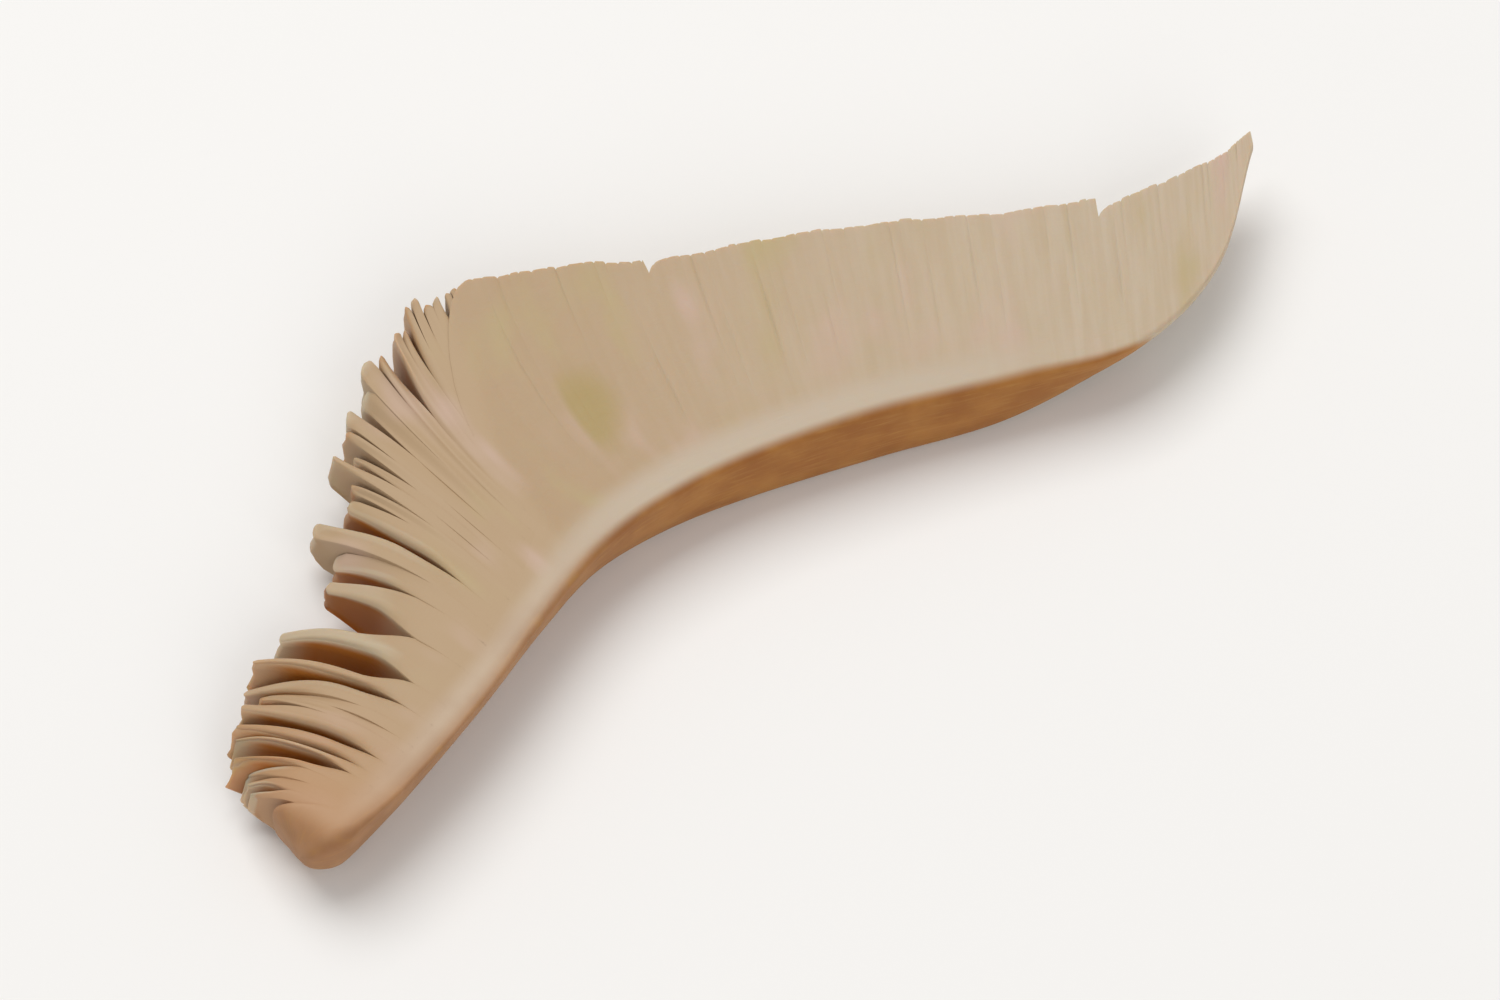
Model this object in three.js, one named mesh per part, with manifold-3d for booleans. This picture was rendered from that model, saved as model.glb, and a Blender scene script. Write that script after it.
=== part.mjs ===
// One slice of an oyster mushroom, lying on a face that the knife cut.
//
// The cap was cut across its gills into strips. Each strip shows on its cut faces the thin edge of the
// tan skin, the pale flesh inside it, and the gills: thin plates that stand on the inner side of the
// flesh and run from one cut face to the other. All of it grew as one piece, so it is one solid.
//
// Millimetres, +Z up. From above, the skin faces the front right and the gills the back left. The slice
// runs from the rolled rim of the cap, at the front left, to its thin cut end, at the back right.

import * as THREE from "three";
import { mergeVertices } from "three/addons/utils/BufferGeometryUtils.js";
import Module from "manifold-3d";

const wasm = await Module();
wasm.setup();

// Driving dimensions
const GILL_SPACING = 1.08; // between gills, halfway along them
const ROOT_START = 0.8; // where a gill starts inside the flesh, as a share of its depth
const GILL_TOP_DROP = 0.12; // gills stand this much lower than the flesh on the upper cut
const SHORTEST_GILL = 2; // how far the first and last gills stand out of the flesh
const LEAN = 1.1; // the upper edge of a loose gill stands this far from its lower one
const LEAN_SPREAD = 0.2; // and differs from gill to gill by up to this share
const DROOP = 1.3; // how far the upper edge of a loose gill sinks at its tip
const DROOP_SPREAD = 0.4;
const GATHER = 0.6; // how far the tips of loose gills draw together in bunches
const BUNCHES = 11; // along the slice
const MOST_WORN = 0.16; // share of its length that the most worn gill has lost
const LEAST_RISE = 0.3; // a gill narrows to its tip by this share from below, the rest from above
const MOST_RISE = 0.8;
const SKIN_BULGE = 0.35; // how far the skin swells between the cuts
const END_LIFT = 3.5; // how far the thin cut end curls up
const END_CURL = [0.66, 1.05]; // between these shares of the slice, as it flattens out at the last
const RIM_LIFT = 0.6; // how far the rim curls up
const RIM_CURL = 0.1; // within this share of the slice
const RIM_LENGTH = 0.045; // share of the slice over which the rim rounds off
const RIM_FULLNESS = 0.3; // share of the flesh that is left at its very tip
const STAND_OFF = 0.1; // how high the lower cut stands off the table, but for three low points
const LOW_POINT_REACH = 3; // how far from a low point the lower cut slopes down to it

// The skin's edge on the upper cut face and the free edge of the gills, at twelve stations from the
// rim to the cut end. A gill that grows at one of the first points ends at the matching second.
const SKIN_LINE = [
  [-20.5, -20.2], [-16.6, -16.3], [-12.8, -11.4], [-9.9, -6.8], [-7.2, -3.0], [-4.0, -0.2],
  [0.2, 2.2], [6.4, 4.7], [13.0, 6.7], [18.8, 8.6], [22.9, 13.4], [24.8, 20.2],
];
const FREE_EDGE = [
  [-22.8, -17.6], [-25.2, -13.0], [-23.0, -6.2], [-20.6, 3.0], [-17.4, 10.6], [-10.4, 12.6],
  [-3.6, 13.4], [4.6, 15.2], [12.0, 16.1], [18.2, 17.4], [22.7, 19.4], [24.7, 20.9],
];
// The three low points that the slice rests on, round its weight.
const LOW_POINTS = [[-17, -14.2], [9.5, 7.2], [-9.8, 6]];

// What else changes along the slice, at the same stations as the two edges.
const THICKNESS = [4.4, 5, 5, 5, 5, 5, 5, 4.9, 4.4, 3.2, 1.9, 1.2]; // between the two cuts
const FLESH_DEPTH = [3.3, 2.6, 2.1, 2.2, 2.4, 2.6, 2.7, 2.7, 2.6, 2.4, 1.6, 0.8]; // skin to gills
const SKIN_SLOPE = [-0.5, -1.3, -1.5, -1.4, -1.1, -0.7, -0.3, 0, 0, -0.9, -0.9, -0.4]; // lower cut, outwards
const GILL_THICKNESS = [0.6, 0.6, 0.62, 0.66, 0.74, 0.8, 0.84, 0.86, 0.86, 0.84, 0.76, 0.6];
const GILL_BOW = [0.04, 0.08, 0.08, 0.02, -0.08, -0.04, -0.01, 0, 0, 0, 0, 0]; // share of its length
const LOOSENESS = [0.7, 1, 1, 0.75, 0.45, 0.25, 0.12, 0.08, 0.06, 0.1, 0.12, 0.1]; // 0 where packed tight
const TIP_HEIGHT = [0.3, 0.25, 0.3, 0.5, 0.7, 0.8, 0.85, 0.85, 0.85, 0.8, 0.8, 0.8]; // share at its end

const FLESH_STEPS = 64; // along the slice
const FLESH_CROWDING = 1.25; // the steps are closer together towards the rim
const FLESH_ROWS = 5; // across the skin
const GILL_STEPS = 8; // from root to free edge
const GILL_ROWS = 2; // from cut to cut
const PLACE_STEPS = 600; // along the slice, to measure out where the gills grow
const SEED = 11;

const { clamp, lerp, smoothstep, seededRandom } = THREE.MathUtils;

const lineThrough = (points) =>
  new THREE.CatmullRomCurve3(points.map(([x, y]) => new THREE.Vector3(x, y, 0)), false, "catmullrom", 0.5);
const skinLine = lineThrough(SKIN_LINE);
const freeEdge = lineThrough(FREE_EDGE);

// A quantity listed at the stations, read between them along the slice, t from 0 to 1.
function along(values, t) {
  const place = clamp(t, 0, 1) * (values.length - 1);
  const before = Math.min(Math.floor(place), values.length - 2);
  const share = place - before;
  const value = (index) => values[clamp(index, 0, values.length - 1)];
  const leaving = (value(before + 1) - value(before - 1)) / 2;
  const arriving = (value(before + 2) - value(before)) / 2;
  const turn = share * (1 - share);
  return (
    lerp(value(before), value(before + 1), share * share * (3 - 2 * share)) +
    turn * (leaving * (1 - share) - arriving * share)
  );
}

// The slice at t: where its skin is, which way its gills run, how long they are, and which way the
// slice goes on, square to the gills.
function sectionAt(t) {
  const skin = skinLine.getPoint(t);
  const chord = freeEdge.getPoint(t).sub(skin);
  const reach = chord.length();
  const inward = chord.divideScalar(reach);
  return { skin, inward, reach, onward: new THREE.Vector3(inward.y, -inward.x, 0) };
}

// How high the lower cut face stands off the table: both ends curl up.
function liftAt(t) {
  return END_LIFT * smoothstep(t, ...END_CURL) + RIM_LIFT * (1 - smoothstep(t, 0, RIM_CURL));
}

// The share of its height off the table that the lower cut has at a place: none at a low point.
function shareOffTable({ x, y }) {
  const distances = LOW_POINTS.map((point) => Math.hypot(x - point[0], y - point[1]));
  return Math.min(...distances, LOW_POINT_REACH) / LOW_POINT_REACH;
}

// A closed body between two like faces over a grid: at(u, v, side) places a point of face -1 or 1,
// with u and v from 0 to 1. Both faces are split into triangles alike, and four edges join them.
function bodyBetween(columns, rows, at) {
  const corners = [];
  const triangles = [];
  for (const side of [-1, 1])
    for (let j = 0; j <= rows; j++)
      for (let i = 0; i <= columns; i++) corners.push(...at(i / columns, j / rows, side).toArray());
  const back = (i, j) => j * (columns + 1) + i;
  const front = (i, j) => (rows + 1) * (columns + 1) + back(i, j);
  const quad = (a, b, c, d) => triangles.push(a, b, c, a, c, d);
  for (let j = 0; j < rows; j++)
    for (let i = 0; i < columns; i++) {
      quad(front(i, j), front(i + 1, j), front(i + 1, j + 1), front(i, j + 1));
      triangles.push(back(i, j), back(i + 1, j + 1), back(i + 1, j));
      triangles.push(back(i, j), back(i, j + 1), back(i + 1, j + 1));
    }
  for (let i = 0; i < columns; i++) {
    quad(back(i, 0), back(i + 1, 0), front(i + 1, 0), front(i, 0));
    quad(front(i, rows), front(i + 1, rows), back(i + 1, rows), back(i, rows));
  }
  for (let j = 0; j < rows; j++) {
    quad(front(0, j), front(0, j + 1), back(0, j + 1), back(0, j));
    quad(back(columns, j), back(columns, j + 1), front(columns, j + 1), front(columns, j));
  }
  const geometry = new THREE.BufferGeometry();
  geometry.setAttribute("position", new THREE.Float32BufferAttribute(corners, 3));
  geometry.setIndex(triangles);
  return geometry;
}

// The flesh with its skin. It is square at the two cuts, swells a little between them on the skin
// side, and rounds off at the rim of the cap.
function fleshBody() {
  return bodyBetween(FLESH_STEPS, FLESH_ROWS, (step, height, side) => {
    const t = step ** FLESH_CROWDING;
    const { skin, inward } = sectionAt(t);
    const rounding = t < RIM_LENGTH ? Math.sqrt(1 - (1 - t / RIM_LENGTH) ** 2) : 1;
    const fullness = Math.max(rounding, RIM_FULLNESS);
    const swell = SKIN_BULGE * (1 - (2 * height - 1) ** 2) + along(SKIN_SLOPE, t) * (1 - height);
    const middle = along(FLESH_DEPTH, t) / 2;
    const depth = side > 0 ? middle - (middle + swell) * fullness : middle + middle * fullness;
    const place = skin.addScaledVector(inward, depth);
    const clearance = STAND_OFF * shareOffTable(place) * (1 - height);
    return place.setZ(liftAt(t) + clearance + along(THICKNESS, t) * (0.5 + (height - 0.5) * fullness));
  });
}

// One gill: a thin bowed plate that leans, droops and narrows towards a ragged tip. draw gives its
// own random shares, and how loose the gills are there says how much of each it takes on.
function gillBody(t, draw) {
  const { skin, inward, reach, onward } = sectionAt(t);
  const looseness = along(LOOSENESS, t);
  const start = along(FLESH_DEPTH, t) * ROOT_START;
  const end = reach * (1 - MOST_WORN * draw() ** 3);
  const bow = along(GILL_BOW, t) * reach;
  const gather = GATHER * looseness * Math.sin(2 * Math.PI * BUNCHES * t);
  const lean = LEAN * looseness * lerp(1 - LEAN_SPREAD, 1 + LEAN_SPREAD, draw());
  const droop = DROOP * looseness * lerp(1 - DROOP_SPREAD, 1 + DROOP_SPREAD, draw());
  const rise = lerp(LEAST_RISE, MOST_RISE, draw());
  const height = along(THICKNESS, t) - GILL_TOP_DROP;
  const narrowing = (height - droop) * (1 - along(TIP_HEIGHT, t));
  const half = along(GILL_THICKNESS, t) / 2;
  return bodyBetween(GILL_STEPS, GILL_ROWS, (u, level, side) => {
    const narrow = narrowing * u ** 4;
    const bowing = bow * 4 * u * (1 - u) + gather * u ** 2;
    const leaning = lean * (level - 0.5) * Math.sqrt(u);
    const place = skin
      .clone()
      .addScaledVector(inward, lerp(start, end, u))
      .addScaledVector(onward, bowing + leaning + side * half);
    const bottom = (STAND_OFF + narrow * rise) * shareOffTable(place);
    const top = height - droop * u ** 2 - narrow * (1 - rise);
    return place.setZ(liftAt(t) + lerp(bottom, top, level));
  });
}

// Where the gills grow: t for each, evenly spaced along the line halfway down them.
function gillPlaces() {
  const places = [];
  let travelled = 0;
  let before = null;
  for (let i = 0; i <= PLACE_STEPS; i++) {
    const t = i / PLACE_STEPS;
    const { skin, inward, reach, onward } = sectionAt(t);
    const root = along(FLESH_DEPTH, t);
    const bow = along(GILL_BOW, t) * reach;
    const halfway = skin.addScaledVector(inward, (root + reach) / 2).addScaledVector(onward, bow);
    if (before) travelled += halfway.distanceTo(before);
    before = halfway;
    const standsOut = t > RIM_LENGTH && reach - root > SHORTEST_GILL;
    if (!standsOut) travelled = places.length * GILL_SPACING;
    else if (travelled >= places.length * GILL_SPACING) places.push(t);
  }
  return places;
}

function solidOf(geometry) {
  const merged = mergeVertices(geometry, 1e-4);
  const vertProperties = new Float32Array(merged.attributes.position.array);
  const triVerts = new Uint32Array(merged.index.array);
  return new wasm.Manifold(new wasm.Mesh({ numProp: 3, vertProperties, triVerts }));
}

function geometryOf(solid) {
  const mesh = solid.getMesh();
  const geometry = new THREE.BufferGeometry();
  geometry.setAttribute("position", new THREE.BufferAttribute(new Float32Array(mesh.vertProperties), 3));
  geometry.setIndex(new THREE.BufferAttribute(new Uint32Array(mesh.triVerts), 1));
  return geometry;
}

function sliceSolid() {
  seededRandom(SEED);
  const gills = gillPlaces().map((t) => gillBody(t, () => seededRandom()));
  return gills.reduce((joined, gill) => joined.add(solidOf(gill)), solidOf(fleshBody()));
}

const mushroomFlesh = new THREE.MeshStandardMaterial({ color: 0xd9c8ad, roughness: 0.6, metalness: 0 });
const slice = new THREE.Mesh(geometryOf(sliceSolid()), mushroomFlesh);
slice.name = "oyster_mushroom_slice";

const mushroom = new THREE.Group();
mushroom.add(slice);

// The origin is under the middle of the slice, on the table.
const around = new THREE.Box3().setFromObject(mushroom);
const middle = around.getCenter(new THREE.Vector3());
slice.position.set(-middle.x, -middle.y, -around.min.z);

export default mushroom;
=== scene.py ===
import math

import bpy
import numpy as np
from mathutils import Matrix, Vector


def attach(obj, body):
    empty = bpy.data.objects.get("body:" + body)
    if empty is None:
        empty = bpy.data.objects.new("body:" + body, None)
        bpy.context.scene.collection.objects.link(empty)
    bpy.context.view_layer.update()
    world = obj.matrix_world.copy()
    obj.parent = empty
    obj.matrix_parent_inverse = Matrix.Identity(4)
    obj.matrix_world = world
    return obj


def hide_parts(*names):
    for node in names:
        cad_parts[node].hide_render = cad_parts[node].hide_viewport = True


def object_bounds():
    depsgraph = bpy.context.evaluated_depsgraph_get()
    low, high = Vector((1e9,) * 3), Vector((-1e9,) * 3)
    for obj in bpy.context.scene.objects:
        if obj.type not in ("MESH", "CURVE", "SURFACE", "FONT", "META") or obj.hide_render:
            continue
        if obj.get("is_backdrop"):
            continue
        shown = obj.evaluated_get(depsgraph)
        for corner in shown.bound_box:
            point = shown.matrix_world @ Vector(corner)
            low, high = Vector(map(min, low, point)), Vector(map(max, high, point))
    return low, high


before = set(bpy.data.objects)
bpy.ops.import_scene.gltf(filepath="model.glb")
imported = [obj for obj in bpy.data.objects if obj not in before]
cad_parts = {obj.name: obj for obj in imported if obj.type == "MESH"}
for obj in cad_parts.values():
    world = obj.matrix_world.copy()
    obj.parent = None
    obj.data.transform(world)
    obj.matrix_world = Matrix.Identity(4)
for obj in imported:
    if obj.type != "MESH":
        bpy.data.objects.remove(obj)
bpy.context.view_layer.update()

# The flesh, its skin and the packed gills
# A strip that a knife cut across the cap: white, finely fibrous flesh with the cap's thin tan skin on its
# outer side and, on its inner side, the gills, pressed by the knife into one cut face with it.
MM = 0.001  # metres: lengths are in mm in both mushroom sections, where nothing else is said
SEED = 11
SLICE_MIDDLE = np.array([-0.3, 0.79])  # of its outline: the part's origin is under it
SLICE_LENGTH = 64.0  # along the skin
# A list of twelve has one value for each station along the slice, as on the solid. The stations are evenly
# spaced in t, which runs from 0 at the rim's tip to 1 at the thin cut end.
SKIN_LINE = np.array([
    [-20.5, -20.2], [-16.6, -16.3], [-12.8, -11.4], [-9.9, -6.8], [-7.2, -3.0], [-4.0, -0.2],
    [0.2, 2.2], [6.4, 4.7], [13.0, 6.7], [18.8, 8.6], [22.9, 13.4], [24.8, 20.2],
])
FREE_EDGE = np.array([
    [-22.8, -17.6], [-25.2, -13.0], [-23.0, -6.2], [-20.6, 3.0], [-17.4, 10.6], [-10.4, 12.6],
    [-3.6, 13.4], [4.6, 15.2], [12.0, 16.1], [18.2, 17.4], [22.7, 19.4], [24.7, 20.9],
])
GILL_BOW = np.array([0.04, 0.08, 0.08, 0.02, -0.08, -0.04, -0.01, 0, 0, 0, 0, 0])  # share of its length
THICKNESS = np.array([4.4, 5, 5, 5, 5, 5, 5, 4.9, 4.4, 3.2, 1.9, 1.2])  # between the two cuts
FLESH_DEPTH = np.array([3.3, 2.6, 2.1, 2.2, 2.4, 2.6, 2.7, 2.7, 2.6, 2.4, 1.6, 0.8])  # skin to gills
# How far the lower cut's skin edge stands out beyond the upper one's: below 0 it stands in.
SKIN_SLOPE = np.array([-0.6, -1.6, -1.9, -1.7, -1.3, -0.8, -0.3, 0, -0.2, -1.8, -1, -0.5])
SKIN_BULGE = 0.35  # how far the skin swells between the cuts
END_LIFT, END_CURL = 3.5, (0.66, 1.05)  # how far the thin cut end curls up, and from which t to which
RIM_LIFT, RIM_CURL = 0.6, 0.1  # the same at the rim, from its tip to that t
RIM_LENGTH, RIM_FULLNESS = 0.045, 0.04  # share of the slice that rounds off, and what is left at its tip
CUT_WAVE = 0.14  # how far the knife's upper cut dips
CUT_WAVES = (((0.42, 0.31), 0.7), ((0.17, -0.55), 2.1))  # radians for each mm along X and Y, and the phase
SKIN_SOFTNESS, SKIN_CURVE = 0.5, 6  # how far its colour reaches round its edges, and on which power
SKIN_END, BARE_WALL = (0.8, 0.9), 3  # t over which the skin ends, and how much deeper the wall then counts
RIM_SKIN = (0.12, 0.1, 0.15)  # polynomial of the distance from the rim's tip: no place counts as deeper
JOINED_DEPTH = np.array([3.0, 1.4, 1.9, 3.0, 5, 5, 5, 5, 5, 5, 5, 5])  # skin to where the fan comes apart
BLEND_SHARE, MOST_BLEND = 0.75, 4  # of that depth, the part that the loose gills reach into, and its limit
FAN_START, FAN_END = (0.012, 0.048), (0.33, 0.412)  # t: no gill is loose before and beyond
SINK = 0.07  # how far the cuts sink where the fan's gills come out of the flesh
GILL_SPACING, UNEVENNESS = 0.54, 0.12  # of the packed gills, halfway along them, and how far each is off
LONGEST_GILL, EDGE_WAVE = 1.01, 0.004  # as shares of the reach at the stations
# Waves along the free edge: radians for each unit of t, phase, strength, and how far the phase swings. The
# last number gives the radians of that swing for each unit of t.
EDGE_WAVES, EDGE_SWING = ((61, 1, 1, 0), (143, 4, 1, 0), (331, 0, 0.4, 2)), 40
NICKS = ((0.797, 0.04, 0.05), (0.797, 0.08, 0.008), (0.522, 0.07, 0.005))  # in it: t, depth, width in t
# The gills of the fan, from the rim on. For the gap before each one: its t, where it opens as a share of
# the way to the free edge, and its width. For the gill: how far its tip stands onward, and how far its
# upper edge leans onward. The last row is the gap after the last one.
FAN = np.array([
    [0.032, 1.20, 0.00, 0.0, 0.3], [0.042, 0.60, 0.25, 0.1, 0.6], [0.052, 0.75, 0.15, 0.2, 1.0],
    [0.063, 0.50, 0.20, 0.2, 1.2], [0.076, 0.24, 0.80, 0.4, 0.9],
    [0.085, 0.16, 0.12, 0.6, 1.0], [0.098, 0.13, 0.42, 0.6, 0.7], [0.1125, 0.70, 0.10, 0.5, 0.6],
    [0.127, 0.55, 0.08, 0.1, 0.6], [0.140, 0.20, 0.35, 0.1, 0.9], [0.156, 0.24, 1.50, -0.2, 1.3],
    [0.186, 0.36, 1.80, 0.3, 0.5], [0.213, 0.40, 0.45, 0.1, 0.5], [0.2265, 0.90, 0.15, 0.1, 0.4],
    [0.2405, 0.28, 0.38, 0.1, 0.4], [0.256, 0.85, 0.12, 0.0, 0.3], [0.272, 0.75, 0.25, 0.0, 0.3],
    [0.288, 0.90, 0.12, 0.0, 0.25], [0.302, 0.80, 0.15, 0.0, 0.25], [0.316, 0.95, 0.10, 0.0, 0.2],
    [0.329, 0.90, 0.10, 0.0, 0.2], [0.342, 0.64, 0.28, 0.0, 0.2], [0.356, 0.93, 0.10, 0.0, 0.1],
    [0.370, 0.90, 0.10, 0.0, 0.1], [0.384, 0.95, 0.10, 0.0, 0.1], [0.398, 0.92, 0.10, 0.0, 0.0],
    [0.412, 1.30, 0.00, 0.0, 0.0],
])


def along(values, t):
    """Reads a list of station values at t, from 0 to 1, on a Catmull-Rom curve: between two stations it is
    the cubic through both whose slope at each is half the step between that station's neighbours."""
    inner = np.concatenate([[2 * values[0] - values[1]], values, [2 * values[-1] - values[-2]]])
    place = np.clip(t, 0, 1) * (len(values) - 1)
    first = np.minimum(place.astype(int), len(values) - 2)
    share = (place - first).reshape(place.shape + (1,) * (values.ndim - 1))
    before, here, following, after = (inner[first + step] for step in range(4))
    return here + 0.5 * share * (
        following - before
        + share * (2 * before - 5 * here + 4 * following - after)
        + share**2 * (3 * here - before - 3 * following + after)
    )


def smooth_step(value, low, high):
    """0 below low, 1 above high, and s * s * (3 - 2 * s) between, with s the share of the way."""
    share = np.clip((value - low) / (high - low), 0, 1)
    return share * share * (3 - 2 * share)


def section(t):
    """The slice at t: its skin's place, the way its gills run, their reach, and the way onward, which is
    square to them, towards the cut end."""
    skin = along(SKIN_LINE, t)
    chord = along(FREE_EDGE, t) - skin
    reach = np.linalg.norm(chord, axis=-1)
    inward = chord / reach[..., None]
    onward = np.stack([inward[..., 1], -inward[..., 0]], axis=-1)
    return skin, inward, reach, onward


def gill_line(t, share):
    """The middle of a gill at t, that share of the way from the skin to the free edge: the straight line
    between them, bowed onward on a parabola."""
    skin, inward, reach, onward = section(t)
    bowing = along(GILL_BOW, t) * reach * 4 * share * (1 - share)
    return skin + inward * (reach * share)[..., None] + onward * bowing[..., None]


def free_edge_share(t):
    """How much of its full reach a gill has at t. Two slow sine waves and a weaker, faster one, whose own
    phase swings on a sine, take some off. Each nick takes off its depth at once where it starts, and less
    and less on an exponential curve onward."""
    waves = sum(
        strength * (1 + np.sin(turning * t + phase + swing * np.sin(EDGE_SWING * t)))
        for turning, phase, strength, swing in EDGE_WAVES
    )
    nicks = sum(depth * np.exp(-(t - place) / width) * (t > place) for place, depth, width in NICKS)
    return LONGEST_GILL - EDGE_WAVE * waves - nicks


def lift(t):
    """How high the lower cut stands off the table: both ends curl up, each on a smooth step."""
    return END_LIFT * smooth_step(t, *END_CURL) + RIM_LIFT * (1 - smooth_step(t, 0, RIM_CURL))


def cut_dip(plan):
    """How far the upper cut dips at a place: two long sine waves that cross, from 0 to CUT_WAVE."""
    waves = sum(np.sin(plan @ np.array(run) + phase) for run, phase in CUT_WAVES)
    return CUT_WAVE * (0.5 + waves / 4)


def in_fan(t):
    """1 where the gills are loose, 0 at the rim and where they are packed, smooth between."""
    return smooth_step(t, *FAN_START) * (1 - smooth_step(t, *FAN_END))


def rim_fullness(t):
    """How much of the section is left at t: it shrinks on a quarter circle towards the rim's tip."""
    return np.maximum(np.sqrt(1 - (1 - np.clip(t / RIM_LENGTH, 0, 1)) ** 2), RIM_FULLNESS)


def within_skin(t, inner):
    """How far inside the skin a place counts for its colour: the skin also closes over the rim's tip."""
    return np.minimum(inner, np.polyval(RIM_SKIN, SLICE_LENGTH * t))


def joined_depth(t, edge):
    """How deep the cut face is in one piece, from the skin: to where the fan comes apart, or else to the
    edge."""
    return edge + (along(JOINED_DEPTH, t) - edge) * in_fan(t)


def blend_length(joined):
    """How far the loose gills reach into the flesh, as the two surfaces trade places over it."""
    return np.minimum(BLEND_SHARE * joined, MOST_BLEND)


LEAST_GROOVE, MOST_GROOVE = 0.003, 0.06  # depth of the line between two gills, in both cuts


def line_depth(share, hollow, deepest, spread):
    """The depth of the line between two closed gills: hollow is 0 for the least and 1 for the most, and
    the line fades on a bell curve away from where it is deepest, all along the gills as a share."""
    bell = np.exp(-(((share - deepest) / spread) ** 2))
    return LEAST_GROOVE + (MOST_GROOVE - LEAST_GROOVE) * hollow * bell


STAIN_T, STAIN_DEPTH = 0.435, 6.2  # its middle: t, and the distance from the skin
STAIN_RIMWARD, STAIN_ONWARD, STAIN_INWARD = 0.6, 2.4, 3.2  # its half sizes
STAIN_STRENGTH, STAIN_EDGE = 0.9, 0.6  # at its middle, and the share of its half size over which it fades


def stain(t, inner):
    """A yellowish stain on the cut face: an ellipse that is sharper on its rim side, and fades on a smooth
    step towards its edge."""
    half_length = np.where(t < STAIN_T, STAIN_RIMWARD, STAIN_ONWARD)
    out = np.hypot((t - STAIN_T) * SLICE_LENGTH / half_length, (inner - STAIN_DEPTH) / STAIN_INWARD)
    return STAIN_STRENGTH * smooth_step(1 - out, 0, STAIN_EDGE)


def tube_faces(columns, ring):
    """Quads round a tube of columns rings with ring points each, facing outward. Each end is closed by
    quads that join the ring's first points to its last ones, pair by pair."""
    column, point = np.meshgrid(np.arange(columns - 1), np.arange(ring), indexing="ij")
    here, following = column * ring + point, column * ring + (point + 1) % ring
    wall = np.stack([here, here + ring, following + ring, following], axis=-1).reshape(-1, 4)
    near = np.arange(ring // 2 - 1)
    start = np.stack([near, near + 1, ring - 2 - near, ring - 1 - near], axis=-1)
    end = start[:, ::-1] + (columns - 1) * ring
    return np.concatenate([wall, start, end])


def tubes(name, points, pattern, attributes):
    """A mesh of one closed tube for each row of points, an array of tubes by columns by ring by 3. pattern
    gives its flat places, for a UV map in mm, and attributes one number a point for each name."""
    count, columns, ring = points.shape[:3]
    faces = tube_faces(columns, ring)
    faces = (faces + (np.arange(count) * columns * ring)[:, None, None]).reshape(-1, 4)
    points = points.reshape(-1, 3) - np.append(SLICE_MIDDLE, 0)
    mesh = bpy.data.meshes.new(name)
    mesh.from_pydata(points * MM, [], faces)
    corners = mesh.uv_layers.new(name="pattern_mm")
    corners.data.foreach_set("uv", pattern.reshape(-1, 2)[faces.ravel()].astype(np.float32).ravel())
    for attribute, values in attributes.items():
        layer = mesh.attributes.new(attribute, "FLOAT", "POINT")
        values = np.broadcast_to(values, (count, columns, ring)).astype(np.float32)
        layer.data.foreach_set("value", values.ravel())
    mesh.shade_smooth()
    piece = bpy.data.objects.new(name, mesh)
    bpy.context.scene.collection.objects.link(piece)
    return piece


MEASURING_POINTS = 2001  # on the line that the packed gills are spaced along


def gill_bounds():
    """t of the line before each gill and after the last: the fan's own, then evenly spaced along the line
    that runs halfway down the gills, each moved on or back a little."""
    t = np.linspace(FAN[-1, 0], 1, MEASURING_POINTS)
    halfway = gill_line(t, np.full_like(t, 0.5))
    travelled = np.append(0, np.cumsum(np.linalg.norm(np.diff(halfway, axis=0), axis=1)))
    packed = np.arange(0, travelled[-1] - GILL_SPACING / 2, GILL_SPACING)
    packed[1:] += np.random.default_rng(SEED).uniform(-UNEVENNESS, UNEVENNESS, len(packed) - 1)
    packed = np.interp(packed, travelled, t)
    return np.concatenate([FAN[:-1, 0], packed, [1.0]])


RIM_COLUMNS = 24  # of the mesh, before the first gill
GROOVE_PLACES = np.array([0, 0.06, 0.15, 0.32, 0.68, 0.85, 0.94])  # of the columns across one gill
GROOVE_DEPTHS = np.array([1, 0.8, 0.3, 0, 0, 0.3, 0.8])  # of the line beside it there, as a share
PACKED_LINES = np.array([[0, 1], [0.3, 1.1], [0.1, 0.4]])  # ranges of hollow, deepest and spread
LINES_SET_IN = (-0.5, 1.5)  # over which depths from where the flesh turns into gills
SKIN_CORNER = (1.1, 0.5)  # radius of the corners along the skin: at the rim, and beyond it
EDGE_CORNER = (1.9, 0.05)  # the same along the free edge
CORNER_DEPTH, CORNER_THICKNESS = 4, 4.4  # of the strip, below which its corners shrink with it
CORNER_BLEND = 1.3  # times RIM_LENGTH: from the rim's tip to where the corners are those beyond it
CORNER_POINTS = 7  # of the ring, on each rounded corner
TOP_POINTS = np.linspace(0, 1, 18)[1:-1]  # of the ring, between its corners
WALL_POINTS = np.array([0.88, 0.7, 0.5, 0.3, 0.12])  # of the ring, down each wall
LEAST_DEPTH = 0.3  # of the strip from skin to free edge
LEAST_NOTCH, MOST_NOTCH = 0.15, 0.6  # between the free edges of two packed gills
NOTCH_DEPTH = 4  # of the strip, below which the notches shrink with it
NOTCH_CLOSING, NOTCH_CURVE = 0.85, 9  # share of a notch that closes towards both cuts, and on which power
TIP_UNEVENNESS = 0.05  # how far a packed gill's free edge stands in or out
BEND, BEND_TURNS, BEND_CURVE = 0.07, 1.4, 4  # waves down the free edge, and the power that ends them
EDGE_REACH = 0.3  # from the free edge in, over which notches and waves fade
# Under the fan the flesh stops letting light in, as the gills take over: from which distance before that
# to which, and how much of in_fan it takes.
HARDENING, FAN_HARDENING = (3, 0.3), 0.3


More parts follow.
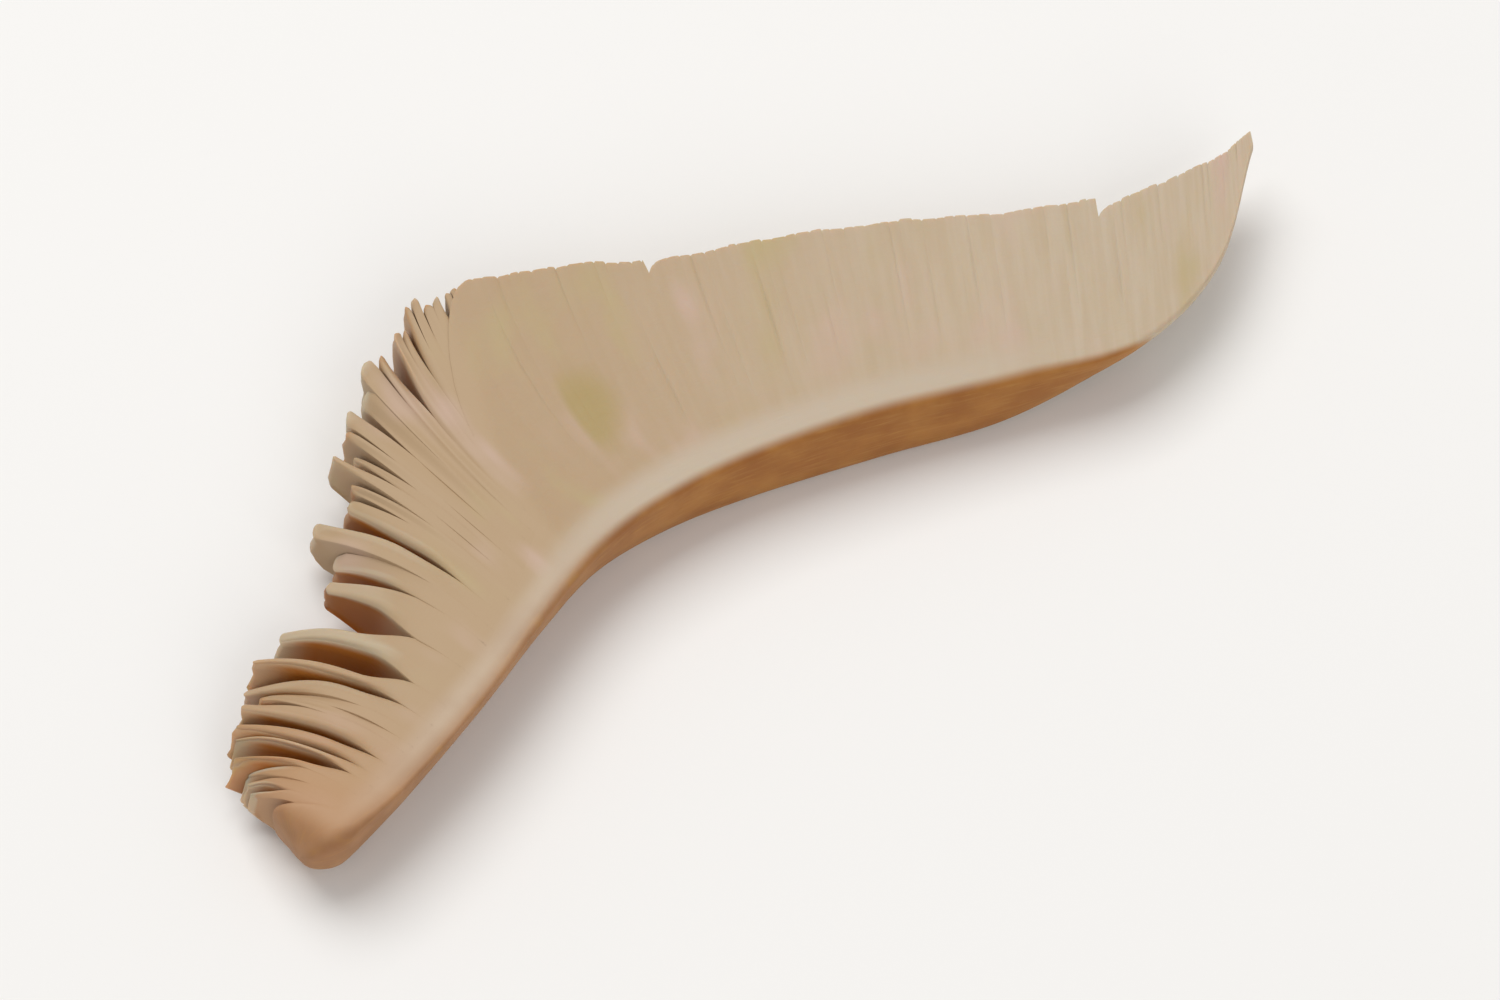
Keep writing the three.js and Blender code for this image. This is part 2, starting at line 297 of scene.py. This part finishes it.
def ring_points():
    """The ring of a section from the skin's upper corner over the cut, down the free edge and back below.
    For each point, one row: what it takes of the depth, and of the skin's and the edge's corner radius,
    and then the same three for its height. Each corner is a quarter circle."""
    turn = np.linspace(0, np.pi / 2, CORNER_POINTS)
    near, far = 1 - np.cos(turn), 1 - np.sin(turn)
    zero, one = np.zeros_like(turn), np.ones_like(turn)
    top, wall = TOP_POINTS, WALL_POINTS
    flat, flat_wall = np.zeros_like(top), np.zeros_like(wall)
    parts = (
        (zero, near, zero, one, -far, zero),
        (top, 1 - top, -top, flat + 1, flat, flat),
        (one, zero, -near[::-1], one, zero, -far[::-1]),
        (flat_wall + 1, flat_wall, flat_wall, wall, flat_wall, 1 - 2 * wall),
        (one, zero, -near, zero, zero, far),
        (top[::-1], 1 - top[::-1], -top[::-1], flat, flat, flat),
        (zero, near[::-1], zero, zero, far[::-1], zero),
        (flat_wall, flat_wall, flat_wall, wall[::-1], 1 - 2 * wall[::-1], flat_wall),
    )
    return [np.concatenate(values)[None, :] for values in zip(*parts)]


def in_columns(values, gills):
    """One value for each column of the tube: 0 in the rim, then the gills' own, and 0 at the cut end."""
    own = np.broadcast_to(values, (gills, len(GROOVE_PLACES)))
    return np.concatenate([np.zeros(RIM_COLUMNS), own.ravel(), [0.0]])[:, None]


def flesh_and_skin():
    """A tube along the slice. Its ring is a rectangle with rounded corners, laid from skin to free edge and
    from cut to cut, and it shrinks on a quarter circle at the rim. Towards the skin it swells on a parabola
    between the cuts and slopes from one to the other. Each line between two gills is a groove in both cuts
    and a deeper notch down the free edge, which also waves. In the fan the tube ends inside the gills, and
    both its cuts sink a little there, so that the gills come out of it."""
    draws = np.random.default_rng(SEED)
    bounds = gill_bounds()
    gills = len(bounds) - 1
    rim_t = bounds[0] * (1 - np.cos(np.linspace(0, np.pi / 2, RIM_COLUMNS, endpoint=False)))
    gills_t = bounds[:-1, None] + np.diff(bounds)[:, None] * GROOVE_PLACES
    t = np.concatenate([rim_t, gills_t.ravel(), [1.0]])[:, None]
    line = in_columns(np.arange(gills)[:, None] + (GROOVE_PLACES > 0.5), gills).astype(int)
    share = in_columns(GROOVE_DEPTHS, gills)
    hollow, deepest, spread = draws.uniform(*PACKED_LINES.T[..., None], (3, gills + 1))
    notch = share**3 * draws.uniform(LEAST_NOTCH, MOST_NOTCH, gills + 1)[line]
    tips = in_columns(draws.uniform(-TIP_UNEVENNESS, TIP_UNEVENNESS, (gills, 1)), gills)
    bend, tone = (in_columns(draws.random((gills, 1)), gills) for _ in range(2))
    reach = section(t)[2]
    thick = along(THICKNESS, t)
    edge = np.maximum(reach * free_edge_share(t) + tips, LEAST_DEPTH)
    depth = joined_depth(t, edge)
    fullness = rim_fullness(t)
    at_rim = 1 - smooth_step(t, 0, CORNER_BLEND * RIM_LENGTH)
    fit = np.minimum(1, np.minimum(depth / CORNER_DEPTH, thick / CORNER_THICKNESS))
    skin_corner, edge_corner = (
        beyond + (at_tip - beyond) * at_rim for at_tip, beyond in (SKIN_CORNER, EDGE_CORNER)
    )
    d_share, d_skin, d_edge, h_share, h_skin, h_edge = ring_points()
    inner = d_share * depth + (d_skin * skin_corner + d_edge * edge_corner) * fit
    height = h_share + (h_skin * skin_corner + h_edge * edge_corner) * fit / thick
    from_middle = abs(2 * height - 1)
    at_edge = smooth_step(inner, depth - EDGE_REACH, depth) * (1 - in_fan(t)) * (1 - at_rim)
    notch = notch * (1 - NOTCH_CLOSING * from_middle**NOTCH_CURVE) * np.minimum(1, depth / NOTCH_DEPTH)
    waves = BEND * np.sin(2 * np.pi * (BEND_TURNS * height + bend)) * (1 - from_middle**BEND_CURVE)
    inner = inner - (notch + waves) * at_edge
    flesh_depth = along(FLESH_DEPTH, t)
    in_flesh = np.clip(inner / flesh_depth, 0, 1)
    swell = SKIN_BULGE * (1 - from_middle**2) + along(SKIN_SLOPE, t) * (1 - height)
    place = depth / 2 + fullness * (inner - depth / 2) - swell * fullness * (1 - in_flesh)
    plan = gill_line(t, place / reach)
    trade = depth - blend_length(depth) / 2
    sunk = in_fan(t) * SINK * smooth_step(inner, trade, depth)
    groove = share * line_depth(inner / reach, hollow[line] ** 3, deepest[line], spread[line])
    groove = groove * smooth_step(inner, flesh_depth + LINES_SET_IN[0], flesh_depth + LINES_SET_IN[1])
    carved = sunk + groove * (1 - in_fan(t))
    z = lift(t) + thick * (0.5 + (height - 0.5) * fullness) - carved * (2 * height - 1) * fullness
    z = z - cut_dip(plan) * height
    points = np.concatenate([plan, z[..., None]], axis=-1)[None]
    inside = within_skin(t, inner) - SKIN_SOFTNESS * (1 - from_middle**SKIN_CURVE)
    inside = inside + BARE_WALL * smooth_step(t, *SKIN_END)
    pattern = np.broadcast_arrays(t * SLICE_LENGTH, inner + (1 - height) * thick)
    hard = smooth_step(inner, trade - HARDENING[0], trade - HARDENING[1])
    attributes = {
        "inside_mm": inside, "along": t, "level": height, "tone": tone, "apart": 0.0,
        "softness": 1 - smooth_step(in_fan(t), 0, FAN_HARDENING) * hard, "stain": stain(t, inner),
        "shaded": 0.0,
    }
    return tubes("flesh_and_skin", points, np.stack(pattern, axis=-1)[None], attributes)


def linear(colour):
    """An sRGB hex colour as the linear one that shaders take, with full alpha."""
    parts = np.array([int(colour[place:place + 2], 16) for place in (1, 3, 5)]) / 255
    return (*np.where(parts > 0.04045, ((parts + 0.055) / 1.055) ** 2.4, parts / 12.92), 1.0)


def add_node(tree, kind, inputs=None, **settings):
    """Adds one shader node. settings are its own properties, and inputs its sockets by name or number:
    each a value, or another node's output to link."""
    node = tree.nodes.new(kind)
    for setting, value in settings.items():
        setattr(node, setting, value)
    for socket, value in (inputs or {}).items():
        if isinstance(value, bpy.types.NodeSocket):
            tree.links.new(value, node.inputs[socket])
        else:
            node.inputs[socket].default_value = value
    return node


FACTOR, FIRST, SECOND, RESULT = 0, 6, 7, 2  # numbers of a colour Mix node's sockets


def tinted(tree, under, over, share, low=None, high=None):
    """One colour laid over another. share says how much of it. Where high is given, there is none of it
    where share is at low and all of it where share is at high, with a smooth change between."""
    if high is not None:
        share = add_node(
            tree,
            "ShaderNodeMapRange",
            {"Value": share, "From Min": low, "From Max": high},
            interpolation_type="SMOOTHSTEP",
        ).outputs["Result"]
    return add_node(
        tree, "ShaderNodeMix", {FACTOR: share, FIRST: under, SECOND: over}, data_type="RGBA"
    ).outputs[RESULT]


# The grain of the surface, by its size along the slice and from the skin inward. The real threads are a few
# hundredths of a millimetre thick, so they are drawn coarser to show. Streaks and tints follow the gills.
THREADS, STREAKS, TINTS = (1.6, 0.22, 1), (0.5, 6.0, 1), (3.0, 8.0, 1)
BLOTCHES = (MM / 0.42,) * 3  # in metres, as they lie in the solid: about 2.4 mm across


def mushroom_material():
    """Fresh oyster mushroom, cut with a knife. The cut flesh is damp, white and softly see-through, with a
    fine felt of threads. The gills are the same in sheets, creamier and streaked along their length. The
    skin is a tan, silky film of such threads, duller towards the rim. Light goes in and comes back warm, so
    the walls between loose gills get a painted orange-brown shade, and some loose gills are browned and
    others paler. The flesh right under the skin is whitened, partly its own white and partly a painted
    highlight. The gills turn browner towards the fan, partly their own colour and partly painted shade.
    Each colour below is laid over the ones before it."""
    material = bpy.data.materials.new("mushroom_flesh_with_tan_skin")
    material.use_nodes = True
    tree = material.node_tree
    tree.nodes.clear()
    places = add_node(tree, "ShaderNodeUVMap", uv_map="pattern_mm").outputs["UV"]
    solid = add_node(tree, "ShaderNodeTexCoord").outputs["Object"]
    inside, along_slice, level, tone, apart, softness, stained, shaded = (
        add_node(tree, "ShaderNodeAttribute", attribute_name=name).outputs["Fac"]
        for name in ("inside_mm", "along", "level", "tone", "apart", "softness", "stain", "shaded")
    )
    threads, streaks, tints, blotches = (
        add_node(
            tree,
            "ShaderNodeTexNoise",
            {
                "Vector": add_node(
                    tree, "ShaderNodeMapping", {"Vector": vector, "Scale": [1 / size for size in sizes]}
                ).outputs["Vector"],
                "Scale": 1.0,
                "Detail": detail,
            },
        ).outputs["Fac"]
        for vector, sizes, detail in (
            (places, THREADS, 3.0), (places, STREAKS, 3.0), (places, TINTS, 2.0), (solid, BLOTCHES, 4.0)
        )
    )
    near_skin, past_fan, below_cut = (
        add_node(
            tree,
            "ShaderNodeMapRange",
            {"Value": value, "From Min": low, "From Max": high},
            interpolation_type="SMOOTHSTEP",
        ).outputs["Result"]
        for value, low, high in ((inside, 2.5, 0.9), (along_slice, 0.2, 0.44), (level, 0.995, 0.85))
    )
    see_through, darkened, browned, brightest, painted_warm_shade, relief = (
        add_node(tree, "ShaderNodeMath", {0: first, 1: second}, operation=operation).outputs["Value"]
        for operation, first, second in (
            ("MULTIPLY", softness, 0.5),  # half the light goes in where it is softest
            ("MULTIPLY", tone, 0.12),
            ("MULTIPLY", apart, tone),
            ("MULTIPLY", near_skin, past_fan),
            # painted warm shade on the walls between loose gills, deeper below the upper cut
            ("MULTIPLY", shaded, below_cut),
            ("ADD", threads, blotches),
        )
    )
    paled = add_node(tree, "ShaderNodeMath", {0: apart, 1: browned}, operation="SUBTRACT").outputs["Value"]
    skin_reach = add_node(
        tree,
        "ShaderNodeMapRange",
        {"Value": along_slice, "From Min": 0.3, "From Max": 0.45, "To Min": 0.95, "To Max": 0.5},
    ).outputs["Result"]
    darker = tinted(tree, linear("#9c6124"), linear("#986a43"), along_slice, 0.55, 0.15)
    lighter = tinted(tree, linear("#ae7532"), linear("#aa7b53"), along_slice, 0.55, 0.15)
    skin = tinted(tree, darker, lighter, blotches, 0.3, 0.7)
    skin = tinted(tree, skin, linear("#b5823f"), threads, 0.45, 0.95)
    gill = tinted(tree, linear("#bfab8f"), linear("#c5b39b"), streaks, 0.25, 0.75)
    for colour, *where in (
        (linear("#b69a78"), along_slice, 0.78, 0.34),  # creamier and browner towards the fan: partly the loose gills' own colour, partly painted shade
        (linear("#b9a679"), tints, 0.54, 0.85),  # yellow-green here and there
        (linear("#c8ab9a"), tints, 0.48, 0.2),  # pinkish elsewhere
        (linear("#bfa688"), darkened),  # each gill by another amount
    ):
        gill = tinted(tree, gill, colour, *where)
    flesh = tinted(tree, linear("#bba288"), linear("#c2ab91"), blotches, 0.3, 0.7)
    for colour, *where in (
        (gill, inside, 0.9, 2.0),
        (linear("#c4b39d"), brightest),  # whitest right under the skin: the flesh's own white with a painted highlight along the skin's edge
        (linear("#b8895f"), along_slice, 0.17, -0.03),  # warmer towards the rim
        (linear("#ae9763"), stained),
        (linear("#b3885f"), browned, 0.2, 1.5),
        (linear("#c4b69c"), paled, 0.3, 1.3),
        (gill, along_slice, 0.66, 0.8),  # the white flesh gives out towards the cut end
    ):
        flesh = tinted(tree, flesh, colour, *where)
    colour = tinted(tree, skin, flesh, inside, -0.3, skin_reach)
    # Painted orange-brown shade on the walls between loose gills, where they stand apart.
    colour = tinted(tree, colour, linear("#a4621f"), painted_warm_shade)
    bump = add_node(
        tree, "ShaderNodeBump", {"Height": relief, "Strength": 0.15, "Distance": 0.1 * MM}
    ).outputs["Normal"]
    shader = add_node(
        tree,
        "ShaderNodeBsdfPrincipled",
        {
            "Base Color": colour,
            "Roughness": 0.55,
            "IOR": 1.38,
            "Subsurface Weight": see_through,
            "Subsurface Radius": (1.0, 0.55, 0.3),
            "Subsurface Scale": 0.5 * MM,
            "Normal": bump,
        },
    ).outputs["BSDF"]
    add_node(tree, "ShaderNodeOutputMaterial", {"Surface": shader})
    return material


mushroom = mushroom_material()
flesh = flesh_and_skin()
flesh.data.materials.append(mushroom)
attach(flesh, "root")
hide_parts("oyster_mushroom_slice")

# The fan of loose gills
# At the left the gills have come apart: thin plates of the same flesh, grown out of the strip, that bow,
# lean and droop. They cling together here and there, and dark gaps open between the others.
TIP_HEIGHT = np.array([0.3, 0.25, 0.3, 0.5, 0.88, 1, 1, 1, 1, 1, 1, 1])  # share of the strip's thickness
LOOSENESS = np.array([0.7, 1, 1, 0.75, 0.35, 0, 0, 0, 0, 0, 0, 0])  # share of the droop, wear and waves
FAN_BREADTH = 73.0  # for each unit of t, halfway down the fan's gills
FAN_SPACING, THINNEST = 0.6, 0.35  # from gill to gill, and what the gaps leave of one at least
OPENING = 0.3  # share of the way to the free edge over which a line between two gills opens
CLEAR_GAP, GAP_SPREAD = 0.5, 0.08  # width from which the line before a gap is deepest, and its spread
CLOSED_OPENS, CLOSED_WIDTH = (0.6, 0.95), (0.05, 0.2)  # where and how far gills that cling come apart
CLOSED_LINES = np.array([[0, 1], [0.4, 1.1], [0.1, 0.3]])  # ranges of hollow, deepest and spread
SHIFTING, LEANING = 0.1, 0.2  # of a gill from its bunch: how far, and by what share
DROOP, DROOPING = 0.9, (0.7, 1.3)  # of the upper edge at its tip, and the range from gill to gill
LEAST_RISE, MOST_RISE = 0.3, 0.8  # share of a gill's narrowing that comes from below
MOST_WORN = 0.17  # share of its length that the most worn gill has lost
RAGGED, RAGGED_TURNS = 0.005, (1.4, 3.1)  # waves down each free edge: as a share of its length, how many
WAVE, WAVE_TURNS, WAVE_SLANT = 0.1, 1.3, 0.4  # of a loose gill: how far, and its turns along and up it
HEIGHT_STEP, STEP_TURNS = 0.08, 1.2  # how far its upper edge wavers up and down, and how often
PLEAT_HEIGHT, PLEATS = 0.1, 40  # waves across the gills' upper edges, and how many for each unit of t
PLEAT_SWING, PLEAT_SWINGS = 0.5, 9  # by how much of a turn and how often they stray from even spacing
PLEATED, CALM = (0.17, 0.24), (0.36, 0.412)  # t over which the pleats set in, and steps and pleats end
STEPS_IN, CLOSED_LINES_IN = 3, 2  # over which distance they and the closed lines set in, past the flesh
EDGE_TAPER, TAPER_START = 0.55, 0.6  # share of its thickness that a loose gill loses, and from where on
CLINGING = (1.0, 0.75)  # where a side's line opens: it doesn't taper at the first, and does at the second
GILL_COLUMNS = 30  # of the mesh, from root to free edge
EDGE_ROUNDING = 0.02  # share of a gill over which it closes on a quarter circle to its free edge
EDGE_COLUMNS = np.array([0.5, 0.14, 0])  # where the last columns stand in it, from its end
LAST_CLOSING = 0.997  # of that quarter circle: it ends in a narrow face
OPEN_DROP = 0.2  # how far a gill's long edges are rounded beside an open gap
MOST_DROP = 0.05  # the limit of any such rounding, as a share of the gill's height
SHADE_FADE = (0.8, 1.0)  # share of its length over which the painted warm shade between loose gills fades
HIDDEN = 0.001  # how much deeper a gill's root lies, so that no two faces share a plane


def ring_of_plate(lower_half, upper_half):
    """Values for the ring of a gill, a flat plate with eased edges. One side has those of its lower half
    and then the upper half's, which are given from the edge in, and the other side has them reversed."""
    side = np.append(lower_half, upper_half[-2::-1])
    return np.append(side, side[::-1])[None, None, :]


HALF_LEVELS = np.array([0, 0, 0, 0, 0, 0.01, 0.05, 0.25, 0.5])  # up a side, from its edge to the middle
HALF_FULLNESS = np.array([0.3, 0.65, 0.88, 1.01, 1.03, 1.06, 1.06, 1.06, 1.06])  # share of half its width
HALF_ROUNDING = np.array([0, 0.15, 0.55, 0.95, 1, 1, 0.3, 0, 0])  # share of the edge drop there
LEVEL = ring_of_plate(HALF_LEVELS, 1 - HALF_LEVELS)
FULLNESS = ring_of_plate(HALF_FULLNESS, HALF_FULLNESS)
ROUNDING = ring_of_plate(HALF_ROUNDING, -HALF_ROUNDING)
SIDE = np.repeat([1.0, -1.0], LEVEL.size // 2)[None, None, :]  # 1 on the onward side, -1 on the other
GROWN = np.append(
    np.linspace(0, 1 - EDGE_ROUNDING, GILL_COLUMNS - len(EDGE_COLUMNS)), 1 - EDGE_ROUNDING * EDGE_COLUMNS
)[None, :, None]  # share of its length at each column


def each(values):
    """One value for each gill, ready to meet the points' arrays of gills by columns by ring."""
    return values[:, None, None]


def beside(values):
    """For each ring point, the value of the line that it lies beside."""
    return np.where(SIDE > 0, each(values[1:]), each(values[:-1]))


def meeting(values, apart):
    """A gill's own value where it stands apart, and the mean with its neighbour's where it doesn't."""
    means = (np.append(values[:1], values) + np.append(values, values[-1:])) / 2
    return beside(means) + (each(values) - beside(means)) * apart


def fan_bunches():
    """The gills between two of the fan's gaps are a bunch, and there are as many as fit at FAN_SPACING into
    what the gaps leave of it. Gives how hard each bunch is pressed, the bunch of each gill, the share of
    the bunch at its first and last side, t of each line and whether it is a gap."""
    gap_t, gap_width = FAN[:, 0], FAN[:, 2]
    room = np.diff(gap_t) * FAN_BREADTH
    taken = (gap_width[1:] + gap_width[:-1]) / 2
    pressed = np.minimum(1, (room - THINNEST) / taken)
    gills = np.maximum(1, np.round((room - pressed * taken) / FAN_SPACING)).astype(int)
    bunch = np.repeat(np.arange(len(room)), gills)
    first = (np.arange(len(bunch)) - np.repeat(np.cumsum(gills) - gills, gills)) / gills[bunch]
    line_t = np.append(gap_t[bunch] + np.diff(gap_t)[bunch] * first, gap_t[-1])
    return pressed, bunch, first, first + 1 / gills[bunch], line_t, np.append(first == 0, True)


def fan_lines(draws, bunch, is_gap):
    """For each line between two gills: where it opens, as a share of the way to the free edge, how far the
    gills beside it then shrink back from it, and for its closed part the three values of line_depth. A gap
    has its own, and the lines inside a bunch are drawn at random."""
    gap_opens, gap_width = FAN[np.append(bunch, -1), 1:3].T
    opens = np.where(is_gap, gap_opens, draws.uniform(*CLOSED_OPENS, len(is_gap)))
    width = np.where(is_gap, 0, draws.uniform(*CLOSED_WIDTH, len(is_gap)))
    hollow, deepest, spread = draws.uniform(*CLOSED_LINES.T[..., None], (3, len(is_gap)))
    hollow = np.where(is_gap, np.minimum(1, gap_width / CLEAR_GAP) ** 2, hollow**3)
    return opens, width, hollow, np.where(is_gap, opens, deepest), np.where(is_gap, GAP_SPREAD, spread)


def fan_gills():
    """One tube for each gill, from its root inside the flesh to its free edge. With way the share of the
    full length there and level that of the height, a gill stands
    shift * way^2 + lean * (level - 1/2) * sqrt(way) + waves
    onward, and gaps press it aside as they open on a smooth step. Its two long edges close in on each other
    with the fourth power of the share of its own length, and the upper one droops with way^2, wavers and is
    pleated. Loose gills taper, are worn back unevenly, and close on a quarter circle at the free edge.
    Where a line is closed, both gills beside it take the mean of their values, and a shallow groove runs
    along it."""
    draws = np.random.default_rng(SEED)
    pressed, bunch, first, last, line_t, is_gap = fan_bunches()
    opens, width, hollow, deepest, spread = fan_lines(draws, bunch, is_gap)
    count = len(bunch)
    gap_opens, gap_width, bunch_shift, bunch_lean = FAN[:, 1:].T
    shift = bunch_shift[bunch] + draws.uniform(-SHIFTING, SHIFTING, count)
    lean = bunch_lean[bunch] * draws.uniform(1 - LEANING, 1 + LEANING, count)
    closing = np.sqrt(1 - np.clip((GROWN - 1) / EDGE_ROUNDING + 1, 0, LAST_CLOSING) ** 2)
    taper = EDGE_TAPER * smooth_step(GROWN, TAPER_START, 1) * smooth_step(beside(opens), *CLINGING)
    slim = FULLNESS * closing * (1 - taper)
    middle = each((line_t[1:] + line_t[:-1]) / 2)
    t = middle + (beside(line_t) - middle) * slim
    across = (each(first + last) + SIDE * slim * each(last - first)) / 2
    reach, onward = section(t)[2:]
    loose, thick = along(LOOSENESS, t), along(THICKNESS, t)
    joined = joined_depth(t, reach)
    root = (joined - blend_length(joined)) / reach
    worn = MOST_WORN * each(draws.random(count)) ** 2 * loose
    phase = draws.random((3, count))[:, :, None, None]
    ragged = sum(np.sin(2 * np.pi * (turns * LEVEL + own)) for turns, own in zip(RAGGED_TURNS, phase))
    free_edge = free_edge_share(t)
    share = root + ((free_edge - worn) * (1 - RAGGED * ragged) - root) * GROWN
    way = (share - root) / (free_edge - root)
    before_opens, after_opens = each(gap_opens[bunch]), each(gap_opens[bunch + 1])
    from_before = smooth_step(share, before_opens, before_opens + OPENING) * each(gap_width[bunch])
    from_after = smooth_step(share, after_opens, after_opens + OPENING) * each(gap_width[bunch + 1])
    pressing = from_before * (1 - across) - from_after * across
    apart = smooth_step(share, beside(opens), beside(opens) + OPENING)
    apart = np.maximum(apart, smooth_step(GROWN, 1 - 2 * EDGE_ROUNDING, 1 - EDGE_ROUNDING / 2))
    droop = meeting(DROOP * draws.uniform(*DROOPING, count), apart) * loose * way**2
    rise = meeting(draws.uniform(LEAST_RISE, MOST_RISE, count), apart)
    narrow = (thick - droop) * (1 - along(TIP_HEIGHT, t)) * GROWN**4
    waves = np.sin(2 * np.pi * (WAVE_TURNS * way + WAVE_SLANT * LEVEL + phase[2]))
    sideways = meeting(shift, apart) * way**2 + meeting(lean, apart) * (LEVEL - 0.5) * np.sqrt(way)
    sideways = sideways + WAVE * loose * way * waves * apart
    sideways = sideways + each(pressed[bunch]) * pressing / 2 - SIDE * slim * beside(width) / 2 * apart
    inner = share * reach
    in_flesh = np.clip(inner / along(FLESH_DEPTH, t), 0, 1)
    undercut = -along(SKIN_SLOPE, t) * (1 - LEVEL) * (1 - in_flesh)
    plan = gill_line(t, (inner + undercut) / reach) + onward * sideways[..., None]
    trade = joined - blend_length(joined) / 2
    sunk = SINK * (1 - smooth_step(inner, root * reach, trade)) + HIDDEN
    closed_drop = line_depth(share, beside(hollow), beside(deepest), beside(spread))
    closed_drop = closed_drop * smooth_step(inner, trade, joined + CLOSED_LINES_IN)
    drop = closed_drop + (OPEN_DROP - closed_drop) * apart
    low = lift(t) + narrow * rise + sunk
    high = lift(t) + thick - droop - narrow * (1 - rise) - sunk
    step = HEIGHT_STEP * loose * np.sin(2 * np.pi * (STEP_TURNS * share + each(draws.random(count))))
    pleats = np.sin(2 * np.pi * (PLEATS * t + PLEAT_SWING * np.sin(2 * np.pi * PLEAT_SWINGS * t)))
    pleats = PLEAT_HEIGHT * pleats * share * smooth_step(t, *PLEATED)
    lively = (1 - smooth_step(t, *CALM)) * smooth_step(inner, joined, joined + STEPS_IN)
    high = high + (step + pleats) * lively
    drop = np.minimum(drop, MOST_DROP * (high - low))
    z = low + (high - low) * LEVEL + drop * ROUNDING
    z = z + (lift(t) + thick / 2 - z) * (1 - rim_fullness(t)) - cut_dip(plan) * LEVEL
    points = np.concatenate([plan, z[..., None]], axis=-1)
    pattern = np.stack([t * SLICE_LENGTH, inner + (1 - LEVEL) * thick], axis=-1)
    attributes = {
        "inside_mm": within_skin(t, inner), "along": t, "level": LEVEL, "tone": each(draws.random(count)),
        "apart": apart, "softness": apart, "stain": stain(t, inner),
        # how much painted warm shade the walls of a loose gill get
        "shaded": apart * (1 - smooth_step(share, *SHADE_FADE)),
    }
    return tubes("fan_gills", points, pattern, attributes)


fan = fan_gills()
fan.data.materials.append(mushroom)
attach(fan, "root")
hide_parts("oyster_mushroom_slice")

# The table
# The plain board that the slice lies on, faced with white laminate that was pressed on against a matt
# plate. From here on, lengths are in metres.
TABLE_SIZE = 1.2
TABLE_GAP = 0.00002  # below the slice's lower cut, so that the two don't share a plane


def laminate():
    """White melamine laminate. Its pressed grain is too fine to see and scatters the light, so that it
    gives an even, slightly warm white with no reflection."""
    material = bpy.data.materials.new("matt_white_laminate")
    material.use_nodes = True
    shader = material.node_tree.nodes["Principled BSDF"]
    shader.inputs["Base Color"].default_value = linear("#f3f1ee")
    shader.inputs["Roughness"].default_value = 0.8
    return material


def table_top():
    """A level square under the origin."""
    corners = np.array([(-1, -1), (1, -1), (1, 1), (-1, 1)]) * TABLE_SIZE / 2
    mesh = bpy.data.meshes.new("table_top")
    mesh.from_pydata(np.insert(corners, 2, -TABLE_GAP, axis=1), [], [(0, 1, 2, 3)])
    mesh.materials.append(laminate())
    table = bpy.data.objects.new("table_top", mesh)
    bpy.context.scene.collection.objects.link(table)
    return table


table_top()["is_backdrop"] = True

# Light and camera
# Soft studio light from a large lamp above and behind the slice, a weaker one in front and a white room,
# and a camera with a long lens that looks down on the slice at the photograph's angle.
ROOM_LIGHT = 0.42  # strength of the white light from all round
VIEW_ELEVATION = 60  # degrees
LENS_MM, SENSOR_MM = 180, 36
FRAME_WIDTH = 0.073  # of what the picture shows, at the slice


def softbox(name, place, size, power):
    """A square lamp of that size and power in watts at place, turned to face the origin."""
    lamp = bpy.data.lights.new(name, "AREA")
    lamp.energy = power
    lamp.size = size
    light = bpy.data.objects.new(name, lamp)
    light.location = place
    light.rotation_euler = light.location.to_track_quat("Z", "Y").to_euler()
    bpy.context.scene.collection.objects.link(light)


softbox("overhead_softbox", place=(-0.15, 0.25, 0.6), size=0.5, power=2.8)
softbox("front_fill", place=(0.3, -0.5, 0.45), size=0.5, power=1.3)
studio = bpy.data.worlds.new("studio")
studio.use_nodes = True
studio.node_tree.nodes["Background"].inputs["Color"].default_value = linear("#ffffff")
studio.node_tree.nodes["Background"].inputs["Strength"].default_value = ROOM_LIGHT
bpy.context.scene.world = studio
bpy.context.scene.view_settings.view_transform = "Standard"

low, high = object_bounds()
target = (low + high) / 2
lens = bpy.data.cameras.new("camera")
lens.lens = LENS_MM
lens.sensor_width = SENSOR_MM
camera = bpy.data.objects.new("camera", lens)
distance = FRAME_WIDTH * LENS_MM / SENSOR_MM
elevation = math.radians(VIEW_ELEVATION)
back, up = distance * math.cos(elevation), distance * math.sin(elevation)
camera.location = (target.x, target.y - back, target.z + up)
camera.rotation_euler = (math.pi / 2 - elevation, 0, 0)
bpy.context.scene.collection.objects.link(camera)
bpy.context.scene.camera = camera
